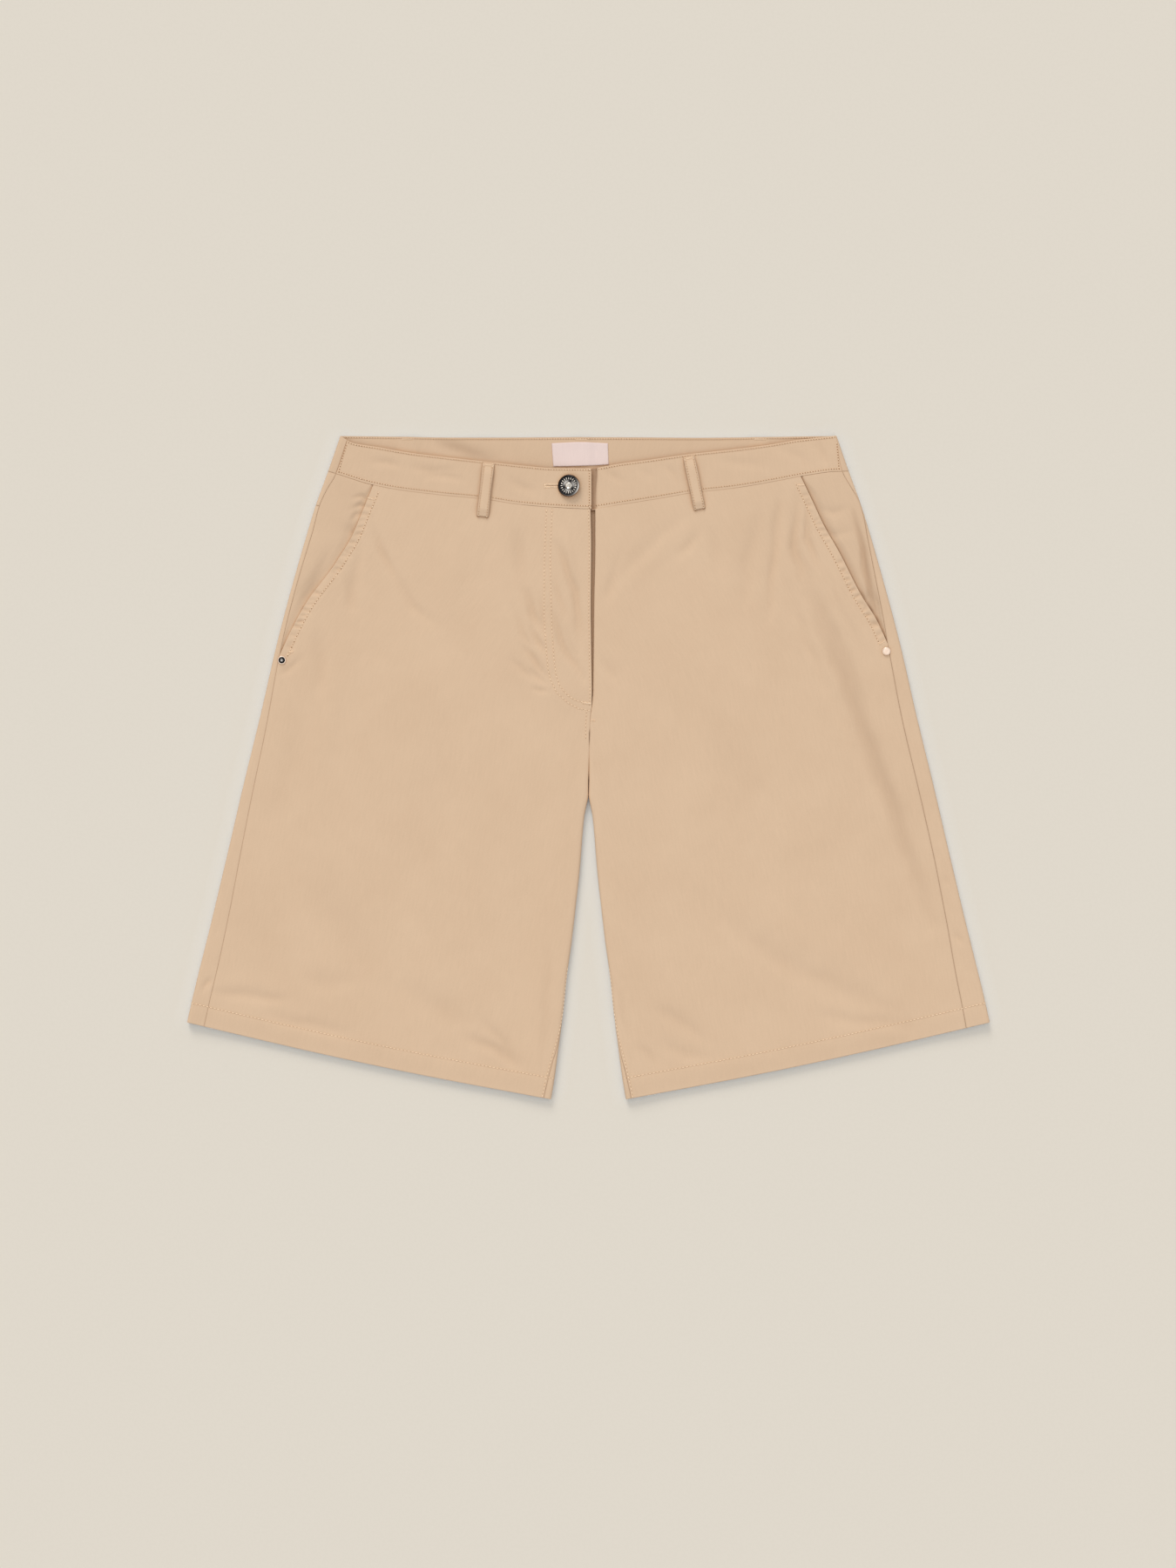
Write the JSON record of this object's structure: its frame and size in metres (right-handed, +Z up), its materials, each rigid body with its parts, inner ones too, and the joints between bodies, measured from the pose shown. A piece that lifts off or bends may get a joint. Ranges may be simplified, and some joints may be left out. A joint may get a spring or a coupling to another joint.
{
  "type": "bermuda shorts",
  "caption": "Tan cotton twill bermuda shorts laid flat, front up, with slanted pockets, belt loops, a fly and a metal button.",
  "frame": {"origin": "centre of the bounding box in X and Y, on the surface the shorts lie on", "axes": "+X towards the wearer's left, +Y from the hems to the waist, +Z up off the surface, out of the front"},
  "size_m": [0.7008, 0.5792, 0.0122],
  "materials": {
    "twill": "tan garment-dyed cotton twill",
    "label": "pale pink woven satin",
    "gunmetal": "polished dark gunmetal",
    "gilt": "polished pale gilt"
  },
  "bodies": {
    "root": {"front_right": "twill", "front_left": "twill", "back_right": "twill", "back_left": "twill", "back_yoke_right": "twill", "back_yoke_left": "twill", "pocket_facing_right": "twill", "pocket_facing_left": "twill", "waistband_front_right": "twill", "waistband_front_left": "twill", "waistband_back": "twill", "fly_shield": "twill", "loop_front_right": "twill", "loop_front_left": "twill", "loop_back_right": "twill", "loop_back_centre": "twill", "loop_back_left": "twill", "label": "label", "button": "gunmetal", "rivet_right": "gilt", "rivet_left": "gilt"}
  },
  "joints": []
}
